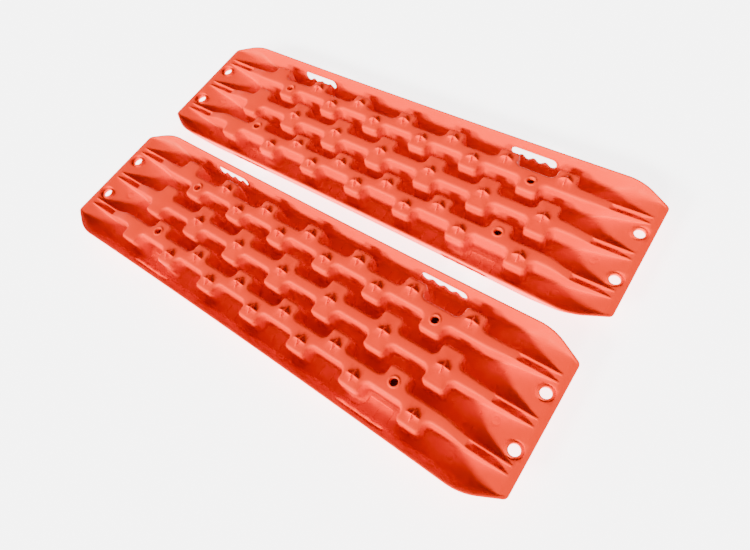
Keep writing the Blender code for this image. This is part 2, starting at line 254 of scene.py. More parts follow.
def arc(center, radius, start, end, steps, outward=1):
    """Rows of x, y and normal along an arc, its last point left out."""
    rows = []
    for i in range(steps):
        angle = math.radians(start + (end - start) * i / steps)
        cx, cy = math.cos(angle), math.sin(angle)
        rows.append((center[0] + radius * cx, center[1] + radius * cy, outward * cx, outward * cy))
    return rows


def run_points(x0, x1, half, step=5.0):
    """Rows along a stretch of flank whose distance from the centre line is half(x)."""
    count = max(1, round(abs(x1 - x0) / step))
    rows = []
    for i in range(count):
        x = x0 + (x1 - x0) * i / count
        slope = (half(x + 0.5) - half(x - 0.5)) * math.copysign(1, x1 - x0)
        length = math.hypot(1, slope)
        rows.append((x, half(x), -slope / length, 1 / length))
    return rows


def flank_half(x, inset):
    """Half width of a plain stretch of ridge, which narrows to the fins."""
    narrow = float(smoothstep((abs(x) - RIDGE_FALL_START + NARROW_LEAD) / NARROW_RUN))
    half = NECK_HALF + (FIN_OUTER - NECK_HALF) * narrow
    return max(half - inset, NARROWEST)


def flank(bumps, end_x, inset):
    """One flank of a ridge from -X to +X, in distances from the ridge's centre line."""
    neck = NECK_HALF - inset
    reach = BUMP_REACH - inset
    half = BUMP_HALF - inset
    convex = CONVEX - inset
    concave = CONCAVE + inset
    rows = []
    x = -end_x
    for bump in bumps:
        left = bump - half
        right = bump + half
        rows += run_points(x, left - concave, lambda s: flank_half(s, inset))
        rows += arc((left - concave, neck + concave), concave, -90, 0, 10, -1)
        rows += arc((left + convex, reach - convex), convex, 180, 90, 8)
        rows += arc((right - convex, reach - convex), convex, 90, 0, 8)
        rows += arc((right + concave, neck + concave), concave, 180, 270, 10, -1)
        x = right + concave
    rows += run_points(x, end_x, lambda s: flank_half(s, inset))
    return rows


def ridge_loop(center, plus_bumps, minus_bumps, end_x, inset=0.0):
    """Closed plan outline of a ridge, anticlockwise, with its outward normals."""
    corner = TIP_CORNER
    stop = end_x - corner
    half = flank_half(end_x, inset)
    minus = [(x, -y, nx, -ny) for x, y, nx, ny in flank(minus_bumps, stop, inset)]
    plus = [(x, y, nx, ny) for x, y, nx, ny in flank(plus_bumps, stop, inset)]
    right = arc((stop, -half + corner), corner, -90, 0, 4) + arc((stop, half - corner), corner, 0, 90, 4)
    left = [(-x, -y, -nx, -ny) for x, y, nx, ny in right]
    plus_back = [plus[-1 - i] for i in range(len(plus))]
    loop = np.array(minus + right + [(stop, half, 0.0, 1.0)] + plus_back + left[1:])
    drift = smoothstep((np.abs(loop[:, 0]) - RIDGE_FALL_START + DRIFT_LEAD) / DRIFT_RUN)
    sign = (center > 0) - (center < 0)
    loop[:, 1] += center + drift * sign * (FIN_SPACING - RIDGE_SPACING)
    return loop


def bump_stations():
    """Stations of the bumps that face outward, and of those that face inward."""
    outward = [k * PITCH for k in range(-3, 4)]
    inner = [(k + 0.5) * PITCH for k in range(-2, 2)]
    return outward, [-HOLE_BUMP_X] + inner + [HOLE_BUMP_X]


def ridge_layout():
    """Centre line of each ridge with the bumps on its far side and on its near side."""
    outward, inward = bump_stations()
    return [(-RIDGE_SPACING, inward, outward), (0.0, outward, outward),
            (RIDGE_SPACING, outward, inward)]


def side_half(x):
    """Half of the board's width at a station short of the cut corners."""
    return WIDTH / 2 + FLARE * np.minimum(np.abs(x) / CORNER_START, 1) ** 2


def quarter_outline(step):
    """Rows along a quarter of the board's outline, from mid side to mid end."""
    tight = CORNER_TIGHT_RADIUS
    wide = CORNER_WIDE_RADIUS
    turn = math.degrees(CORNER_ANGLE)
    rows = run_points(0.0, CORNER_START, side_half, step)
    side = side_half(CORNER_START)
    wide_rows = arc((CORNER_START, side - wide), wide, 90, 90 - turn, 16)
    cut_x = CORNER_START + wide * math.sin(CORNER_ANGLE)
    cut_y = side - wide * (1 - math.cos(CORNER_ANGLE))
    tight_x = LENGTH / 2 - tight
    tight_start_x = tight_x + tight * math.sin(CORNER_ANGLE)
    tight_y = cut_y - (tight_start_x - cut_x) * math.tan(CORNER_ANGLE) - tight * math.cos(CORNER_ANGLE)
    nx, ny = math.sin(CORNER_ANGLE), math.cos(CORNER_ANGLE)
    cut_rows = []
    count = max(1, round((tight_start_x - cut_x) / 3))
    for i in range(count):
        x = cut_x + (tight_start_x - cut_x) * i / count
        cut_rows.append((x, cut_y - (x - cut_x) * math.tan(CORNER_ANGLE), nx, ny))
    tight_rows = arc((tight_x, tight_y), tight, 90 - turn, 0, 8)
    count = max(1, round(tight_y / step))
    end_rows = [(LENGTH / 2, tight_y * (1 - i / count), 1.0, 0.0) for i in range(count)]
    return rows + wide_rows + cut_rows + tight_rows + end_rows


def board_loop(step=7.0):
    """Closed outline of the board, clockwise from the middle of its far side."""
    quarter = np.array(quarter_outline(step))
    end = np.array([[LENGTH / 2, 0.0, 1.0, 0.0]])
    side = np.array([[0.0, -WIDTH / 2, 0.0, -1.0]])
    flip_y = np.array([1, -1, 1, -1])
    near = quarter[1:][::-1] * flip_y
    right = np.vstack([quarter, end, near, side])
    left = right[1:-1][::-1] * np.array([-1, 1, -1, 1])
    return np.vstack([right, left])


def circle_loop(center, radius, steps):
    return np.array(arc(center, radius, 0, 360, steps))


# ---------------------------------------------------------------- surface building

class Surface:
    """Points and faces of one mesh, gathered ring by ring."""

    def __init__(self):
        self.points = []
        self.faces = []

    def ring(self, x, y, z):
        """Adds a row of points and returns their numbers."""
        first = len(self.points)
        z = np.broadcast_to(z, np.shape(x))
        self.points.extend(zip(map(float, x), map(float, y), map(float, z)))
        return list(range(first, len(self.points)))

    def strip(self, inner, outer, skip=()):
        """Closed band of faces between two rings, save those that start at a skipped point."""
        count = len(inner)
        for i in range(count):
            if i in skip:
                continue
            j = (i + 1) % count
            self.faces.append((inner[i], inner[j], outer[j], outer[i]))

    def strips(self, rings):
        for inner, outer in zip(rings, rings[1:]):
            self.strip(inner, outer)

    def patch(self, loops, height, lines=(), plan=None):
        """Fills the region inside the first loop and outside the others."""
        plan = plan or (lambda point: (point[0], point[1]))
        ids = []
        edges = []
        for chain, closed in [(loop, True) for loop in loops] + [(line, False) for line in lines]:
            first = len(ids)
            ids.extend(chain)
            edges.extend((first + i, first + i + 1) for i in range(len(chain) - 1))
            if closed:
                edges.append((first + len(chain) - 1, first))
        flat = [Vector(plan(self.points[i])) for i in ids]
        result = delaunay_2d_cdt(flat, edges, [], 0, 1e-5, True)
        places, _, triangles, sources = result[:4]
        index = []
        for place, source in zip(places, sources):
            if source:
                index.append(ids[source[0]])
            else:
                index.append(len(self.points))
                self.points.append(height(place.x, place.y))
        flat_loops = [np.array([plan(self.points[i]) for i in loop]) for loop in loops]
        corners = np.array([[places[v][:] for v in tri] for tri in triangles])
        keep = inside(corners.mean(axis=1), flat_loops)
        for triangle, kept in zip(triangles, keep):
            if kept:
                self.faces.append(tuple(index[v] for v in triangle))

    def mesh(self, name):
        """The finished mesh in metres, its doubled points merged."""
        mesh = bpy.data.meshes.new(name)
        scaled = [(x * MM, y * MM, z * MM) for x, y, z in self.points]
        mesh.from_pydata(scaled, [], self.faces)
        bm = bmesh.new()
        bm.from_mesh(mesh)
        bmesh.ops.remove_doubles(bm, verts=bm.verts, dist=MERGE)
        bmesh.ops.dissolve_degenerate(bm, edges=bm.edges, dist=DEGENERATE)
        loose = [v for v in bm.verts if not v.link_faces]
        bmesh.ops.delete(bm, geom=loose, context="VERTS")
        bmesh.ops.recalc_face_normals(bm, faces=bm.faces)
        bm.to_mesh(mesh)
        bm.free()
        mesh.shade_smooth()
        mesh.set_sharp_from_angle(angle=SHARP_ANGLE)
        return mesh


def inside(points, loops):
    """Even-odd test of points against closed loops."""
    crossings = np.zeros(len(points), int)
    for loop in loops:
        start = loop
        end = np.roll(loop, -1, axis=0)
        for (ax, ay), (bx, by) in zip(start, end):
            spans = (ay > points[:, 1]) != (by > points[:, 1])
            if not spans.any():
                continue
            at = ax + (points[spans, 1] - ay) * (bx - ax) / (by - ay)
            crossings[np.flatnonzero(spans)[at > points[spans, 0]]] += 1
    return crossings % 2 == 1


def offset(loop, distance):
    """Columns of x and y of a loop moved along its normals."""
    return loop[:, 0] + distance * loop[:, 2], loop[:, 1] + distance * loop[:, 3]


# ---------------------------------------------------------------- ridges

def ridge_rings(surface, loop, outward_side):
    """Rings from the ridge's flat top over its shoulder and down its wall to the floor."""
    x0 = loop[:, 0]
    height = ridge_top(x0) - ground(x0)
    fin = smoothstep((np.abs(x0) - RIDGE_FALL_START) / SHARPEN_RUN)
    shoulder = np.minimum(SHOULDER + (FIN_EDGE - SHOULDER) * fin, 0.4 * height)
    foot = np.minimum(FOOT_FILLET, 0.4 * height)
    rings = []
    for angle in np.radians([0, 15, 30, 45, 60, 75, 90]):
        x, y = offset(loop, -shoulder * (1 - math.sin(angle)))
        rings.append(surface.ring(x, y, ridge_top(x) - shoulder * (1 - math.cos(angle))))
    out = RIDGE_DRAFT * (height - shoulder - foot)
    x_mid, y_mid = offset(loop, out)
    faces_out = outward_side * loop[:, 3] > -0.5
    step = ledge(x_mid) * faces_out * (outward_side * y_mid > RIDGE_SPACING)
    for angle in np.radians([0, 18, 36, 54, 72, 90]):
        x, y = offset(loop, out + foot * (1 - math.cos(angle)))
        rings.append(surface.ring(x, y, ground(x) + step + foot * (1 - math.sin(angle))))
    surface.strips(rings)
    return rings[0], rings[-1]


def groove_rings(surface, center, end):
    """Groove between the two fins of a ridge end, open to the ridge's top."""
    sign = (center > 0) - (center < 0)
    middle = center + sign * (FIN_SPACING - RIDGE_SPACING)
    start = GROOVE_START
    stop = GROOVE_STOP
    corner = GROOVE_CORNER
    rows = []
    for x0, x1, half in ((start + corner, stop - corner, -FIN_INNER),
                         (stop - corner, start + corner, FIN_INNER)):
        side = -1 if half < 0 else 1
        rows += [(x0 + (x1 - x0) * i / GROOVE_STEPS, half, 0.0, float(side))
                 for i in range(GROOVE_STEPS)]
        tip = stop if side < 0 else start
        direction = 1 if side < 0 else -1
        rows += arc((tip - direction * corner, half - side * corner), corner,
                    -90 if side < 0 else 90, 0 if side < 0 else 180, 4)
        rows += arc((tip - direction * corner, -half + side * corner), corner,
                    0 if side < 0 else 180, 90 if side < 0 else 270, 4)
    loop = np.array(rows)
    loop[:, 0] *= end
    loop[:, 2] *= end
    loop[:, 1] += middle
    rings = []
    for inset, depth in ((0, 0), (0.35, 0.03), (0.6, 0.1), (1.1, 0.9), (1.5, 0.98), (2.2, 1.0)):
        x, y = offset(loop, -inset)
        top = ridge_top(x)
        rings.append(surface.ring(x, y, top + (groove_floor(x) - top) * depth))
    surface.strips(rings)
    surface.patch([rings[-1]], lifted(groove_floor))
    return rings[0]


def cleat_places():
    """Centres of the star cleats: on every bump but the leftmost outward ones and the bushes'."""
    outward, inward = bump_stations()
    places = [(x, 0.0) for x in outward[1:]]
    for side in (-1, 1):
        places += [(x, side * CLEAT_OUTER_Y) for x in outward[1:]]
        places += [(x, side * CLEAT_INNER_Y) for x in inward[1:-1]]
    return places


def cleat_ring(surface, place, thickness, grow, lift, arch):
    """Ring round a cross of two thin blades whose tops are arched."""
    rows = []
    for arm in range(4):
        angle = arm * math.pi / 2
        along = np.array((math.cos(angle), math.sin(angle)))
        across = np.array((-along[1], along[0]))
        span = CLEAT_REACH[arm % 2] + grow
        stations = np.linspace(thickness, span, 7)
        path = [(s, -thickness) for s in stations] + [(span + thickness * 0.6, 0.0)]
        path += [(s, thickness) for s in stations[::-1]]
        if arm:
            path = path[1:]
        if arm == 3:
            path = path[:-1]
        for s, t in path:
            crown = max(1 - (min(s, span) / (span + 0.01)) ** 2, 0.0) ** 0.8
            point = np.array(place) + along * s + across * t
            rows.append((point[0], point[1], lift + arch * crown))
    rows = np.array(rows)
    return surface.ring(rows[:, 0], rows[:, 1], RIM_Z + rows[:, 2])


def cleat(surface, place):
    """A star cleat on a bump. Returns its outer ring, a hole in the ridge's top."""
    rings = [cleat_ring(surface, place, *shape) for shape in CLEAT_RINGS]
    surface.strips(rings)
    surface.patch([rings[-1]], lambda x, y: (x, y, RIM_Z + CLEAT_HEIGHT))
    return rings[0]


def round_hole(surface, center, radius, top, bottom, steps=40):
    """A hole through the shell. Returns its upper and its lower ring."""
    loop = circle_loop(center, radius, steps)
    upper = surface.ring(loop[:, 0], loop[:, 1], top(loop[:, 0]))
    lower = surface.ring(loop[:, 0], loop[:, 1], bottom(loop[:, 0]))
    surface.strip(upper, lower)
    return upper, lower


def ridge(surface, center, plus_bumps, minus_bumps, bushes):
    """One ridge with its cleats, fins and hollow underside. Returns both foot rings."""
    sign = (center > 0) - (center < 0)
    loop = ridge_loop(center, plus_bumps, minus_bumps, PLATE_START)
    crest, foot = ridge_rings(surface, loop, sign)
    holes = [groove_rings(surface, center, end) for end in (-1, 1)]
    for place in cleat_places():
        if abs(place[1] - center) < RIDGE_SPACING / 2:
            holes.append(cleat(surface, place))
    hollow = ridge_loop(center, plus_bumps, minus_bumps, HOLLOW_END, SHELL)
    ceiling, mouth = hollow_rings(surface, hollow)
    ceiling_holes = []
    for bush in bushes:
        radius = BUSH_BORE / 2 + COLLAR_HOLE
        upper, lower = round_hole(surface, bush, radius, ridge_top, lambda x: ridge_top(x) - SHELL)
        holes.append(upper)
        ceiling_holes.append(lower)
    surface.patch([crest] + holes, lifted(ridge_top))
    surface.patch([ceiling] + ceiling_holes, lifted(ridge_top, SHELL))
    return foot, mouth


def hollow_rings(surface, loop):
    """Open underside of a ridge, from its ceiling down to its mouth."""
    x0 = loop[:, 0]
    height = ridge_top(x0) - ground(x0)
    fillet = np.minimum(HOLLOW_FILLET, 0.2 * height)
    rings = []
    for angle in np.radians([0, 30, 60, 90]):
        x, y = offset(loop, -fillet * (1 - math.sin(angle)))
        rings.append(surface.ring(x, y, ridge_top(x) - SHELL - fillet * (1 - math.cos(angle))))
    out = RIDGE_DRAFT * (height - fillet)
    for grow, lift in ((0.0, 1.0), (0.3, 0.3), (1.0, 0.0)):
        x, y = offset(loop, out + grow)
        rings.append(surface.ring(x, y, ground(x) - SHELL + lift))
    surface.strips(rings)
    return rings[0], rings[-1]


# ---------------------------------------------------------------- tray

def slot_outline(grow=0.0):
    """Handle slot in its own plane: level top edge, round ends, scalloped lower edge."""
    radius = SLOT_HEIGHT / 2
    straight = SLOT_LENGTH / 2 - radius
    points = []
    for end in (1, -1):
        start = -90 if end > 0 else 90
        for i in range(13):
            angle = math.radians(start + 15 * i)
            points.append((end * straight + (radius + grow) * math.cos(angle),
                           (radius + grow) * math.sin(angle)))
    steps = 14 * SLOT_SCALLOPS
    for i in range(1, steps):
        run = i / steps
        lift = SCALLOP_DEPTH * math.sin(math.pi * SLOT_SCALLOPS * run) ** 2
        points.append((-straight + 2 * straight * run, -radius - grow + lift))
    return np.array(points)


def wall_profile(loop, skin):
    """Distances and heights of the rings down the tray's wall, inner skin or outer."""
    x0 = loop[:, 0]
    depth = rim_top(x0) - ground(x0)
    corner = smoothstep((np.abs(x0) - 400) / 90)
    fillet = WALL_FILLET + (CORNER_FILLET - WALL_FILLET) * corner
    fillet = np.minimum(fillet, 1.25 * np.maximum(depth, 0.1)) + skin
    slope = 1 / WALL_DRAFT
    base_drop = depth + skin
    center = (fillet * math.hypot(1, slope) + base_drop - fillet) / slope
    start = RIM_WIDTH if not skin else 0.0
    tangent = center - fillet * slope / math.hypot(1, slope)
    return start, fillet, center, tangent


def wall_rings(surface, loop, skin):
    """Rings down the fillet between the tray's wall and its floor."""
    start, fillet, center, tangent = wall_profile(loop, skin)
    x0 = loop[:, 0]
    rings = []
    tilt = math.atan(1 / WALL_DRAFT)
    for k, angle in enumerate(np.linspace(tilt, 0, 8)):
        inset = start + np.maximum(center - fillet * math.sin(angle), 0.4 + 0.15 * k)
        x, y = offset(loop, -inset)
        z = ground(x) - skin + fillet * (1 - math.cos(angle))
        rings.append(surface.ring(x, y, np.minimum(z, rim_top(x0) - (RIM_ROUND if skin else 0.0))))
    surface.strips(rings)
    return rings


def rim_rings(surface, loop):
    """Rounded rim, from the inner edge over the top to the outer edge."""
    top = rim_top(loop[:, 0])
    rings = []
    middle = RIM_WIDTH / 2
    reach = middle - RIM_ROUND
    inner_drop = np.minimum(RIM_ROUND, 0.3 * (top - ground(loop[:, 0])))
    for angle in np.radians([15.5, 40, 65, 90]):
        inset = middle + reach + RIM_ROUND * math.cos(angle)
        x, y = offset(loop, -inset)
        rings.append(surface.ring(x, y, top - inner_drop * (1 - math.sin(angle))))
    for angle in np.radians([90, 115, 140, 165, 180]):
        inset = middle - reach + RIM_ROUND * math.cos(angle)
        x, y = offset(loop, -inset)
        rings.append(surface.ring(x, y, top - RIM_ROUND * (1 - math.sin(angle))))
    surface.strips(rings)
    return rings[0], rings[-1]


def slot_runs(loop):
    """Stretches of the outline beside each slot, as lists of point numbers."""
    runs = []
    for end in (-1, 1):
        for side in (-1, 1):
            near_slot = np.abs(loop[:, 0] - end * SLOT_X) < SLOT_SURROUND
            beside = np.flatnonzero(near_slot & (side * loop[:, 1] > 0))
            runs.append((end, side, beside.tolist()))
    return runs


def wall_with_slots(surface, loop, upper, lower, skin, holes):
    """Wall between two rings, cut by the four handle slots."""
    runs = slot_runs(loop)
    skip = {i for _, _, beside in runs for i in beside[:-1]}
    surface.strip(upper, lower, skip)
    for end, side, beside in runs:
        boundary = [upper[i] for i in beside] + [lower[i] for i in beside[::-1]]

        def plan(point):
            return (point[0], point[2])

        def height(x, z, side=side):
            inset = (0.0 if skin else RIM_WIDTH) + WALL_DRAFT * (RIM_Z - z)
            return (x, side * (float(side_half(x)) - inset), z)

        surface.patch([boundary, holes[end, side]], height, plan=plan)


def slot_holes(surface):
    """Edges of the handle slots on the wall's inner and outer skin, joined through it."""
    outline = slot_outline(SLOT_CLEARANCE)
    tilt = math.atan(WALL_DRAFT)
    inner = {}
    outer = {}
    for end in (-1, 1):
        for side in (-1, 1):
            x = end * SLOT_X + outline[:, 0]
            z = RIM_Z - SLOT_TOP_DROP - SLOT_HEIGHT / 2 + outline[:, 1] * math.cos(tilt)
            loops = []
            for start, shift in ((RIM_WIDTH, 0.0), (0.0, RIM_WIDTH * math.sin(tilt) * math.cos(tilt))):
                z_skin = z - shift
                y = side * (side_half(x) - start - WALL_DRAFT * (RIM_Z - z_skin))
                loops.append(surface.ring(x, y, z_skin))
            surface.strip(loops[0], loops[1])
            inner[end, side], outer[end, side] = loops
    return inner, outer


def tray(surface):
    """Rim and side walls. Returns the inner and the outer foot ring."""
    loop = board_loop()
    rim_inner, rim_outer = rim_rings(surface, loop)
    inner = wall_rings(surface, loop, 0.0)
    outer = wall_rings(surface, loop, SHELL)
    inner_holes, outer_holes = slot_holes(surface)
    wall_with_slots(surface, loop, rim_inner, inner[0], 0.0, inner_holes)
    wall_with_slots(surface, loop, rim_outer, outer[0], SHELL, outer_holes)
    return inner[-1], outer[-1]


# ---------------------------------------------------------------- floor

def eyelet_seats(surface):
    """Level seats of the tie-down eyelets in the ramps, with bosses underneath."""
    tops = []
    bottoms = []
    parts = ((SEAT_RINGS, 0, EYELET_SEAT), (BOSS_RINGS, SHELL, EYELET_SEAT - BOSS_DEPTH))
    for end in (-1, 1):
        for side in (-1, 1):
            center = (end * EYELET[0], side * EYELET[1])
            rings = []
            for shapes, skin, seat in parts:
                for radius, share in shapes:
                    loop = circle_loop(center, radius, 48)
                    ramp = ground(loop[:, 0]) - skin
                    rings.append(surface.ring(loop[:, 0], loop[:, 1], ramp + (seat - ramp) * share))
            surface.strips(rings)
            tops.append(rings[0])
            bottoms.append(rings[-1])
    return tops, bottoms


def ledge_lines(surface):
    """Both edges of the ledge round the outer ridges' feet beside each handle."""
    lines = []
    outward, inward = bump_stations()
    for center, plus_bumps, minus_bumps in ridge_layout():
        if not center:
            continue
        side = 1 if center > 0 else -1
        loop = ridge_loop(center, plus_bumps, minus_bumps, PLATE_START)
        for end in (-1, 1):
            beside = (end * loop[:, 0] > LEDGE_START - 3) & (end * loop[:, 0] < LEDGE_END + 1)
            beside &= side * (loop[:, 1] - center) > 0
            rows = loop[beside]
            for distance, share in ((LEDGE_INNER, 1.0), (LEDGE_OUTER, 0.0)):
                x, y = offset(rows, distance)
                lines.append(surface.ring(x, y, ground(x) + share * ledge(x)))
    return lines


def flat_chains(surface, loops, lines):
    """Plan of every loop and line, each loop closed."""
    closed = [loop + loop[:1] for loop in loops]
    return [np.array([surface.points[i][:2] for i in chain]) for chain in closed + lines]


def clearance(points, chains):
    """Distance of each point to the nearest stretch of the chains."""
    starts = np.vstack([chain[:-1] for chain in chains])
    along = np.vstack([chain[1:] for chain in chains]) - starts
    gap = points[:, None] - starts[None]
    share = (gap * along).sum(axis=2) / np.maximum((along ** 2).sum(axis=1), 1e-9)
    away = gap - np.clip(share, 0, 1)[..., None] * along
    return np.hypot(away[..., 0], away[..., 1]).min(axis=1)


def plank_places():
    """Stations of the thin lines across the valleys and the Y range each may run through."""
    def both_sides(x, valley):
        low, high = valley
        return [(x, low, high), (x, -high, -low)]

    places = []
    for n in range(-6, 7):
        for x in (n * PITCH / 2 - PLANK_HALF_GAP, n * PITCH / 2 + PLANK_HALF_GAP):
            places += both_sides(x, INNER_VALLEY)
            if n % 2 and abs(n) < 5:
                places += both_sides(x, OUTER_VALLEY)
    for end in (-1, 1):
        for x in HANDLE_LINES:
            places += both_sides(end * x, OUTER_VALLEY)
        places += [(end * RAMP_LINE_X, y - 4, y + 4) for y in RAMP_LINES]
    return places


def plank_lines(surface, chains):
    """Thin grooves across the valleys, kept clear of the ridges' feet."""
    lines = []
    for x, y0, y1 in plank_places():
        run = np.array([(x, y) for y in np.linspace(y0, y1, 1 + round(y1 - y0))])
        clear = np.flatnonzero(clearance(run, chains) > 2.2)
        clear = max(np.split(clear, np.flatnonzero(np.diff(clear) > 1) + 1), key=len)
        if len(clear) < 5:
            continue
        run = run[clear][::2]
        sunk = np.minimum(np.arange(len(run)), np.arange(len(run))[::-1]) > 0
        for shift, depth in ((-1.0, 0.0), (0.0, PLANK_LINE_DEPTH), (1.0, 0.0)):
            across = run[:, 0] + shift
            lines.append(surface.ring(across, run[:, 1], ground(across) - depth * sunk))
    return lines


def mark_lines(surface, chains):
    """Shallow round marks that the ejector pins leave in the ramps."""
    lines = []
    for end in (-1, 1):
        for x, y, radius in MARKS:
            loop = circle_loop((end * x, y), radius, 28)
            if clearance(loop[:, :2], chains).min() < 1.6:
                continue
            for grow, depth in ((-MARK_EDGE, 0.0), (0.0, MARK_DEPTH), (MARK_EDGE, 0.0)):
                px, py = offset(loop, grow)
                ring = surface.ring(px, py, ground(px) - depth)
                lines.append(ring + ring[:1])
    return lines


def floor_grid(surface, loops, lines):
    """Loose points on the ramps and valleys, clear of every edge."""
    chains = flat_chains(surface, loops, lines)
    xs = np.concatenate([np.arange(-360, 361, 24), np.arange(376, 412, 4), np.arange(420, 512, 8),
                         [513, 515, 517, 519, 521, 525]])
    xs = np.unique(np.concatenate([xs, -xs]))
    points = np.array([(x, y) for x in xs for y in np.arange(-120, 121, 8.0)])
    return points[clearance(points, chains) > 2.0]


def floor(surface, feet, seats):
    """Valley floor and ramps, between the ridges' feet and the tray's."""
    lines = ledge_lines(surface)
    loops = feet + seats
    chains = flat_chains(surface, loops, lines)
    lines += plank_lines(surface, chains) + mark_lines(surface, chains)
    grid = floor_grid(surface, loops, lines)
    loose = surface.ring(grid[:, 0], grid[:, 1], ground(grid[:, 0]))
    surface.patch(loops, lifted(ground), lines + [[i] for i in loose])


def underside(surface, feet, bosses):
    """Lower skin of the floor and ramps, round the ridges' open mouths."""
    loops = feet + bosses
    grid = floor_grid(surface, loops, [])
    loose = surface.ring(grid[:, 0], grid[:, 1], ground(grid[:, 0]) - SHELL)
    surface.patch(loops, lifted(ground, SHELL), [[i] for i in loose])


def board_mesh():
    """One whole board, in its own frame."""
    surface = Surface()
    inner_foot, outer_foot = tray(surface)
    feet = []
    mouths = []
    for center, plus_bumps, minus_bumps in ridge_layout():
        side = (center > 0) - (center < 0)
        bushes = [(end * BUSH[0], side * BUSH[1]) for end in (-1, 1)] if side else []
        foot, mouth = ridge(surface, center, plus_bumps, minus_bumps, bushes)
        feet.append(foot)
        mouths.append(mouth)
    seats, bosses = eyelet_seats(surface)
    floor(surface, [inner_foot] + feet, seats)
    underside(surface, [outer_foot] + mouths, bosses)
    return surface.mesh("board")


# ---------------------------------------------------------------- collars and grips

def swept(surface, sections):
    """Closed tube through a ring of sections."""
    rings = [surface.ring(*np.array(section).T) for section in sections]
    for ring, following in zip(rings, rings[1:] + rings[:1]):
        surface.strip(ring, following)


def collar_mesh(name, bore, depth):
    """Turned collar with a rounded lip that flares out onto the board."""
    inner = bore / 2
    sleeve = inner + SLEEVE_WALL
    lip = inner + LIP_WIDTH
    height = COLLAR_RAISE
    profile = [(inner, -depth), (sleeve, -depth), (sleeve, 0.3), (lip - 0.2, 0.3),
               (lip, 0.45), (lip - 0.6, 0.6), (lip - 1.3, height * 0.72),
               (lip - 2.0, height * 0.94), (lip - 2.7, height), (inner + 0.9, height * 0.97),
               (inner + 0.3, height * 0.8), (inner, height * 0.4)]
    surface = Surface()
    sections = []
    for i in range(COLLAR_STEPS):
        angle = 2 * math.pi * i / COLLAR_STEPS
        sections.append([(r * math.cos(angle), r * math.sin(angle), z) for r, z in profile])
    swept(surface, sections)
    return surface.mesh(name)


def slot_frame(end, side):
    """Matrix from the slot's plane, X along it, Y up it, Z into the valley, to the board."""
    tilt = math.atan(WALL_DRAFT)
    drop = SLOT_TOP_DROP + SLOT_HEIGHT / 2
    inner_y = float(side_half(SLOT_X)) - RIM_WIDTH - WALL_DRAFT * drop
    into_valley = Vector((0, -side * math.cos(tilt), math.sin(tilt)))
    up = Vector((0, side * math.sin(tilt), math.cos(tilt)))
    along = up.cross(into_valley)
    origin = Vector((end * SLOT_X, side * inner_y, RIM_Z - drop))
    return Matrix((
        (along.x, up.x, into_valley.x, origin.x),
        (along.y, up.y, into_valley.y, origin.y),
        (along.z, up.z, into_valley.z, origin.z),
        (0, 0, 0, 1)))


def grip_mesh(end, side):
    """Rim of a handle slot: a rounded bead round it, thick enough to hold."""
    frame = slot_frame(end, side)
    outlines = [(slot_outline(grow), level) for grow, level in GRIP_SECTION]
    surface = Surface()
    sections = []
    for i in range(len(outlines[0][0])):
        section = []
        for outline, level in outlines:
            section.append(tuple(frame @ Vector((*outline[i], level))))
        sections.append(section)
    swept(surface, sections)
    return surface.mesh(f"grip_{end}_{side}")


# ---------------------------------------------------------------- materials

def nylon(name, color, shade, roughness):
    """Moulded nylon: satin skin with a fine grain and a slow drift in colour and gloss."""
    mat = bpy.data.materials.new(name)
    mat.use_nodes = True
    nodes = mat.node_tree.nodes
    links = mat.node_tree.links
    shader = nodes["Principled BSDF"]
    shader.inputs["IOR"].default_value = 1.5
    shader.inputs["Specular IOR Level"].default_value = 0.36
    shader.inputs["Specular Tint"].default_value = (1.0, 0.5, 0.25, 1)
    coords = nodes.new("ShaderNodeTexCoord")

    def noise(scale, detail):
        node = nodes.new("ShaderNodeTexNoise")
        node.inputs["Scale"].default_value = scale
        node.inputs["Detail"].default_value = detail
        links.new(coords.outputs["Object"], node.inputs["Vector"])
        return node.outputs["Fac"]

    def ramp(source, low, high, out_low, out_high):
        node = nodes.new("ShaderNodeMapRange")
        node.inputs["From Min"].default_value = low
        node.inputs["From Max"].default_value = high
        node.inputs["To Min"].default_value = out_low
        node.inputs["To Max"].default_value = out_high
        links.new(source, node.inputs["Value"])
        return node.outputs["Result"]

    mix = nodes.new("ShaderNodeMix")
    mix.data_type = "RGBA"
    mix.inputs["A"].default_value = (*color, 1)
    mix.inputs["B"].default_value = (*shade, 1)
    links.new(ramp(noise(9, 3), 0.35, 0.7, 0.0, 1.0), mix.inputs["Factor"])
    links.new(mix.outputs["Result"], shader.inputs["Base Color"])
    gloss = ramp(noise(60, 4), 0.3, 0.7, roughness - 0.05, roughness + 0.06)
    links.new(gloss, shader.inputs["Roughness"])
    grain = nodes.new("ShaderNodeBump")
    grain.inputs["Strength"].default_value = 0.12
    grain.inputs["Distance"].default_value = 0.0004
    links.new(noise(900, 2), grain.inputs["Height"])
    links.new(grain.outputs["Normal"], shader.inputs["Normal"])
    return mat


def plain(name, color, roughness):
    """One even colour."""
    mat = bpy.data.materials.new(name)
    mat.use_nodes = True
    shader = mat.node_tree.nodes["Principled BSDF"]
    shader.inputs["Base Color"].default_value = (*color, 1)
    shader.inputs["Roughness"].default_value = roughness
    return mat


# ---------------------------------------------------------------- assembly

def add_piece(name, mesh, mat, matrix, body, node):
    """Places a piece, which rides on a body and stands for a CAD node."""
    piece = bpy.data.objects.new(name, mesh)
    if not mesh.materials:
        mesh.materials.append(mat)
    piece.matrix_world = matrix
    bpy.context.collection.objects.link(piece)
    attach(piece, body)
    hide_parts(node)


def collar_place(x, y, z):
    """Matrix of a collar whose seat is at a place on the board, in millimetres."""
    return Matrix.Translation((x * MM, y * MM, z * MM))


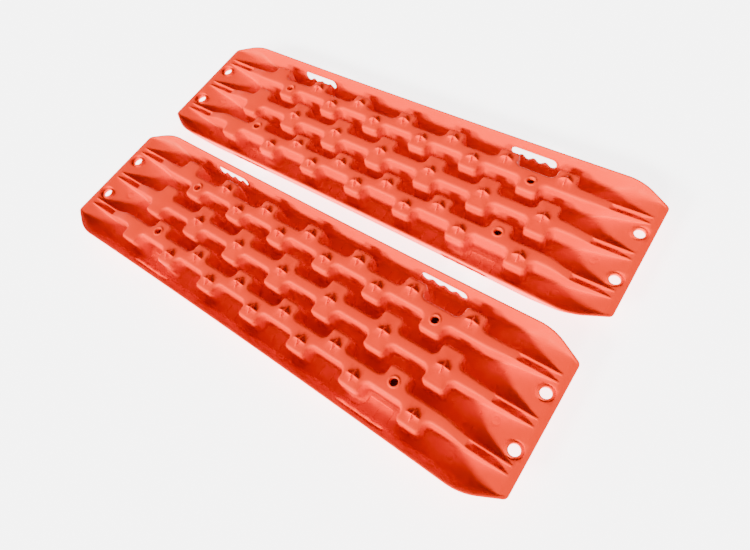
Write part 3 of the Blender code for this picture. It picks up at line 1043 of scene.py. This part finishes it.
def build_mats():
    """Both boards, each with its own collars and grip rims."""
    board_nylon = nylon("board_nylon_look", (0.96, 0.030, 0.0015), (0.92, 0.024, 0.001), 0.5)
    collar_nylon = nylon("collar_nylon_look", (0.96, 0.038, 0.002), (0.92, 0.030, 0.0015), 0.46)
    grip_nylon = nylon("grip_nylon_look", (0.96, 0.035, 0.002), (0.92, 0.028, 0.001), 0.5)
    board = board_mesh()
    eyelet = collar_mesh("eyelet_shape", EYELET_BORE, EYELET_DEPTH)
    bush = collar_mesh("bush_shape", BUSH_BORE, BUSH_DEPTH)
    grips = {(end, side): grip_mesh(ENDS[end], SIDES[side]) for end in ENDS for side in SIDES}
    for label, sign in (("front", -1), ("rear", 1)):
        body = f"{label}_mat"
        frame = Matrix.Translation((sign * PAIR_DX * MM, sign * PAIR_DY * MM, 0))
        frame = frame @ Matrix.Rotation(sign * PAIR_YAW, 4, "Z")
        add_piece(f"{label}_moulded_board", board, board_nylon, frame, body,
                  f"{label}_board")
        for end, ex in ENDS.items():
            for side, sy in SIDES.items():
                place = f"{end}_{side}"
                at = frame @ collar_place(ex * EYELET[0], sy * EYELET[1], EYELET_SEAT)
                add_piece(f"{label}_tiedown_ring_{place}", eyelet, collar_nylon, at, body,
                          f"{label}_eyelet_{place}")
                at = frame @ collar_place(ex * BUSH[0], sy * BUSH[1], RIM_Z)
                add_piece(f"{label}_pin_hole_ring_{place}", bush, collar_nylon, at, body,
                          f"{label}_ridge_bush_{place}")
                add_piece(f"{label}_handle_rim_{place}", grips[end, side], grip_nylon, frame, body,
                          f"{label}_grip_{place}")


def add_stage():
    """Plain pale floor that glows, left unlit where the boards stand close over it: painted shade for
    the dark beneath them.
    """
    size = FLOOR_HALF
    mesh = bpy.data.meshes.new("floor")
    corners = [(-size, -size, 0), (size, -size, 0), (size, size, 0), (-size, size, 0)]
    mesh.from_pydata(corners, [], [(0, 1, 2, 3)])
    white = plain("floor_white", (0.9, 0.9, 0.9), 0.9)
    nodes = white.node_tree.nodes
    links = white.node_tree.links
    split = nodes.new("ShaderNodeSeparateXYZ")
    links.new(nodes.new("ShaderNodeNewGeometry").outputs["Position"], split.inputs["Vector"])

    def math_node(operation, first, second=None):
        """Math node on an output, with a number or a second output."""
        node = nodes.new("ShaderNodeMath")
        node.operation = operation
        links.new(first, node.inputs[0])
        if isinstance(second, float):
            node.inputs[1].default_value = second
        elif second:
            links.new(second, node.inputs[1])
        return node.outputs["Value"]

    def glow(distance, start, stop):
        """Nothing up to start, all of it from stop on."""
        node = nodes.new("ShaderNodeMapRange")
        node.interpolation_type = "SMOOTHSTEP"
        node.inputs["From Min"].default_value = start
        node.inputs["From Max"].default_value = stop
        links.new(distance, node.inputs["Value"])
        return node.outputs["Result"]

    from_middle = math_node("ABSOLUTE", split.outputs["X"])
    across = math_node("SUBTRACT", math_node("ABSOLUTE", split.outputs["Y"]), PAIR_DY * MM)
    # painted shade: the floor's glow fades to nothing in a soft-edged patch under each board's middle
    beside = glow(math_node("ABSOLUTE", across), *PAINTED_SHADE_HALF_WIDTH)
    beyond = glow(from_middle, *PAINTED_SHADE_HALF_LENGTH)
    strength = math_node("MULTIPLY", math_node("MAXIMUM", beside, beyond), FLOOR_GLOW)
    shader = nodes["Principled BSDF"]
    shader.inputs["Emission Color"].default_value = (1, 1, 1, 1)
    links.new(strength, shader.inputs["Emission Strength"])
    mesh.materials.append(white)
    floor_object = bpy.data.objects.new("studio_floor", mesh)
    floor_object.location.z = -FLOOR_DROP
    bpy.context.collection.objects.link(floor_object)
    floor_object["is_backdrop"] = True


def add_camera():
    """Wide camera over the near right corner of the front board, rolled about its own axis."""
    camera = bpy.data.cameras.new("camera")
    camera.sensor_width = 36
    camera.lens = 24.1
    camera_object = bpy.data.objects.new("camera", camera)
    place = Vector(CAMERA_PLACE)
    level = (Vector(CAMERA_AIM) - place).to_track_quat("-Z", "Y").to_matrix().to_4x4()
    roll = Matrix.Rotation(CAMERA_ROLL, 4, "Z")
    camera_object.matrix_world = Matrix.Translation(place) @ level @ roll
    bpy.context.collection.objects.link(camera_object)
    bpy.context.scene.camera = camera_object


def add_lights():
    """Two soft key lights low on the boards' near side, a broad one above and an even studio."""
    for name, energy, angle, travel in SUNS:
        light = bpy.data.lights.new(name, "SUN")
        light.energy = energy
        light.angle = math.radians(angle)
        light_object = bpy.data.objects.new(name, light)
        light_object.rotation_euler = Vector(travel).to_track_quat("-Z", "Y").to_euler()
        bpy.context.collection.objects.link(light_object)
    world = bpy.data.worlds.new("studio")
    world.use_nodes = True
    nodes = world.node_tree.nodes
    links = world.node_tree.links
    split = nodes.new("ShaderNodeSeparateXYZ")
    links.new(nodes.new("ShaderNodeTexCoord").outputs["Generated"], split.inputs["Vector"])
    fade = nodes.new("ShaderNodeMapRange")
    fade.interpolation_type = "SMOOTHSTEP"
    fade.inputs["From Min"].default_value = SKY_LOW[0]
    fade.inputs["From Max"].default_value = SKY_HIGH[0]
    fade.inputs["To Min"].default_value = SKY_LOW[1]
    fade.inputs["To Max"].default_value = SKY_HIGH[1]
    links.new(split.outputs["Z"], fade.inputs["Value"])
    background = nodes["Background"]
    background.inputs["Color"].default_value = (1, 1, 1, 1)
    links.new(fade.outputs["Result"], background.inputs["Strength"])
    bpy.context.scene.world = world


def rows(box):
    """A box's corners as plain lists."""
    return [[float(value) for value in corner] for corner in box]


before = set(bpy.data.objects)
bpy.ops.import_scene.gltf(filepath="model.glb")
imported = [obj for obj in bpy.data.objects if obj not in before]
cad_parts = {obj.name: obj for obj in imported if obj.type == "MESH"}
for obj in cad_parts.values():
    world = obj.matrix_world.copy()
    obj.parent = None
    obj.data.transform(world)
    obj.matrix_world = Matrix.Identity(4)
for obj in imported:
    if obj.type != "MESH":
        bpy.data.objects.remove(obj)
cad_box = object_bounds()
add_camera()
add_lights()
add_stage()
build_mats()

{"cad": rows(cad_box), "visual": rows(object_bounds())}
